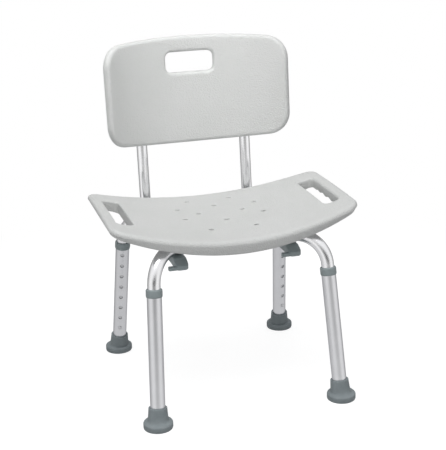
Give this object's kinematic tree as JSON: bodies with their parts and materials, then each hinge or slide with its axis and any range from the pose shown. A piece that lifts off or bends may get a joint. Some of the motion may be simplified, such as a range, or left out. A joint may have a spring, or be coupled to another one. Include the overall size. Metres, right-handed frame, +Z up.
{
  "type": "bath chair",
  "caption": "Bath and shower chair with a saddle-shaped seat, hand slots, a curved lift-off backrest and telescopic push-button legs on rubber feet.",
  "frame": {"origin": "on the floor, under the middle of the chair's outer box", "axes": "+Z up; -Y is the front, where the sitter's knees are; +X is to the viewer's right from the front"},
  "size_m": [0.495, 0.4464, 0.6735],
  "materials": {
    "pale_plastic": "fine pebbled moulding",
    "grey_plastic": "smooth moulding",
    "grey_rubber": "matt moulded rubber",
    "bright_aluminium": "polished tube",
    "satin_aluminium": "satin anodised tube",
    "plated_steel": "zinc plated"
  },
  "bodies": {
    "seat_unit": {"seat": "pale_plastic", "cross_frame_upper": "bright_aluminium", "cross_frame_lower": "bright_aluminium", "cross_rivet": "bright_aluminium", "back_socket_left": "grey_plastic", "back_socket_right": "grey_plastic", "socket_screw_left_inner": "plated_steel", "socket_screw_left_outer": "plated_steel", "socket_screw_right_inner": "plated_steel", "socket_screw_right_outer": "plated_steel", "latch_screw_front_left": "plated_steel", "latch_screw_front_right": "plated_steel", "latch_screw_rear_left": "plated_steel", "latch_screw_rear_right": "plated_steel", "leg_spring_front_left": "plated_steel", "leg_spring_front_right": "plated_steel", "leg_spring_rear_left": "plated_steel", "leg_spring_rear_right": "plated_steel"},
    "lower_leg_front_left": {"leg_tube_front_left": "satin_aluminium", "leg_collar_front_left": "grey_plastic", "leg_foot_front_left": "grey_rubber"},
    "lower_leg_front_right": {"leg_tube_front_right": "satin_aluminium", "leg_collar_front_right": "grey_plastic", "leg_foot_front_right": "grey_rubber"},
    "lower_leg_rear_left": {"leg_tube_rear_left": "satin_aluminium", "leg_collar_rear_left": "grey_plastic", "leg_foot_rear_left": "grey_rubber"},
    "lower_leg_rear_right": {"leg_tube_rear_right": "satin_aluminium", "leg_collar_rear_right": "grey_plastic", "leg_foot_rear_right": "grey_rubber"},
    "leg_catch_front_left": {"leg_button_front_left": "plated_steel"},
    "leg_catch_front_right": {"leg_button_front_right": "plated_steel"},
    "leg_catch_rear_left": {"leg_button_rear_left": "plated_steel"},
    "leg_catch_rear_right": {"leg_button_rear_right": "plated_steel"},
    "turn_latch_front_left": {"latch_front_left": "grey_plastic"},
    "turn_latch_front_right": {"latch_front_right": "grey_plastic"},
    "turn_latch_rear_left": {"latch_rear_left": "grey_plastic"},
    "turn_latch_rear_right": {"latch_rear_right": "grey_plastic"},
    "backrest": {"back_panel": "pale_plastic", "back_post_left": "bright_aluminium", "back_post_right": "bright_aluminium", "post_cap_left": "grey_plastic", "post_cap_right": "grey_plastic", "panel_screw_left_upper": "plated_steel", "panel_screw_left_lower": "plated_steel", "panel_screw_right_upper": "plated_steel", "panel_screw_right_lower": "plated_steel", "back_spring_left": "plated_steel", "back_spring_right": "plated_steel"},
    "back_catch_left": {"back_button_left": "plated_steel"},
    "back_catch_right": {"back_button_right": "plated_steel"}
  },
  "joints": [
    {"name": "leg_slide_front_left", "type": "slide", "parent": "seat_unit", "child": "lower_leg_front_left", "axis": [-0.0482, -0.1617, -0.9857], "range_m": [0, 0.1778], "deforming": ["leg_button_front_left"]},
    {"name": "leg_slide_front_right", "type": "slide", "parent": "seat_unit", "child": "lower_leg_front_right", "axis": [0.0482, -0.1617, -0.9857], "range_m": [0, 0.1778], "deforming": ["leg_button_front_right"]},
    {"name": "leg_slide_rear_left", "type": "slide", "parent": "seat_unit", "child": "lower_leg_rear_left", "axis": [-0.0482, 0.1617, -0.9857], "range_m": [0, 0.1778], "deforming": ["leg_button_rear_left"]},
    {"name": "leg_slide_rear_right", "type": "slide", "parent": "seat_unit", "child": "lower_leg_rear_right", "axis": [0.0482, 0.1617, -0.9857], "range_m": [0, 0.1778], "deforming": ["leg_button_rear_right"]},
    {"name": "leg_button_front_left_press", "type": "slide", "parent": "seat_unit", "child": "leg_catch_front_left", "axis": [0.215, -0.9654, 0.1478], "range_m": [0, 0.0045], "stiffness_N_per_m": 600, "springref_m": -0.002, "deforming": ["leg_spring_front_left"]},
    {"name": "leg_button_front_right_press", "type": "slide", "parent": "seat_unit", "child": "leg_catch_front_right", "axis": [-0.215, -0.9654, 0.1478], "range_m": [0, 0.0045], "stiffness_N_per_m": 600, "springref_m": -0.002, "deforming": ["leg_spring_front_right"]},
    {"name": "leg_button_rear_left_press", "type": "slide", "parent": "seat_unit", "child": "leg_catch_rear_left", "axis": [0.215, 0.9654, 0.1478], "range_m": [0, 0.0045], "stiffness_N_per_m": 600, "springref_m": -0.002, "deforming": ["leg_spring_rear_left"]},
    {"name": "leg_button_rear_right_press", "type": "slide", "parent": "seat_unit", "child": "leg_catch_rear_right", "axis": [-0.215, 0.9654, 0.1478], "range_m": [0, 0.0045], "stiffness_N_per_m": 600, "springref_m": -0.002, "deforming": ["leg_spring_rear_right"]},
    {"name": "latch_front_left_turn", "type": "hinge", "parent": "seat_unit", "child": "turn_latch_front_left", "pos_m": [-0.113, -0.06733, 0.297], "axis": [0, 0, 1], "range_deg": [-90, 0]},
    {"name": "latch_front_right_turn", "type": "hinge", "parent": "seat_unit", "child": "turn_latch_front_right", "pos_m": [0.113, -0.06733, 0.297], "axis": [0, 0, 1], "range_deg": [0, 90]},
    {"name": "latch_rear_left_turn", "type": "hinge", "parent": "seat_unit", "child": "turn_latch_rear_left", "pos_m": [-0.113, 0.05267, 0.297], "axis": [0, 0, 1], "range_deg": [0, 90]},
    {"name": "latch_rear_right_turn", "type": "hinge", "parent": "seat_unit", "child": "turn_latch_rear_right", "pos_m": [0.113, 0.05267, 0.297], "axis": [0, 0, 1], "range_deg": [-90, 0]},
    {"name": "backrest_lift", "type": "slide", "parent": "seat_unit", "child": "backrest", "axis": [0, 0.0975, 0.9952], "range_m": [0, 0.12], "deforming": ["back_button_left", "back_button_right"]},
    {"name": "back_button_left_press", "type": "slide", "parent": "backrest", "child": "back_catch_left", "axis": [0, -0.9952, 0.0975], "range_m": [0, 0.0045], "stiffness_N_per_m": 600, "springref_m": -0.002, "deforming": ["back_spring_left"]},
    {"name": "back_button_right_press", "type": "slide", "parent": "backrest", "child": "back_catch_right", "axis": [0, -0.9952, 0.0975], "range_m": [0, 0.0045], "stiffness_N_per_m": 600, "springref_m": -0.002, "deforming": ["back_spring_right"]}
  ]
}
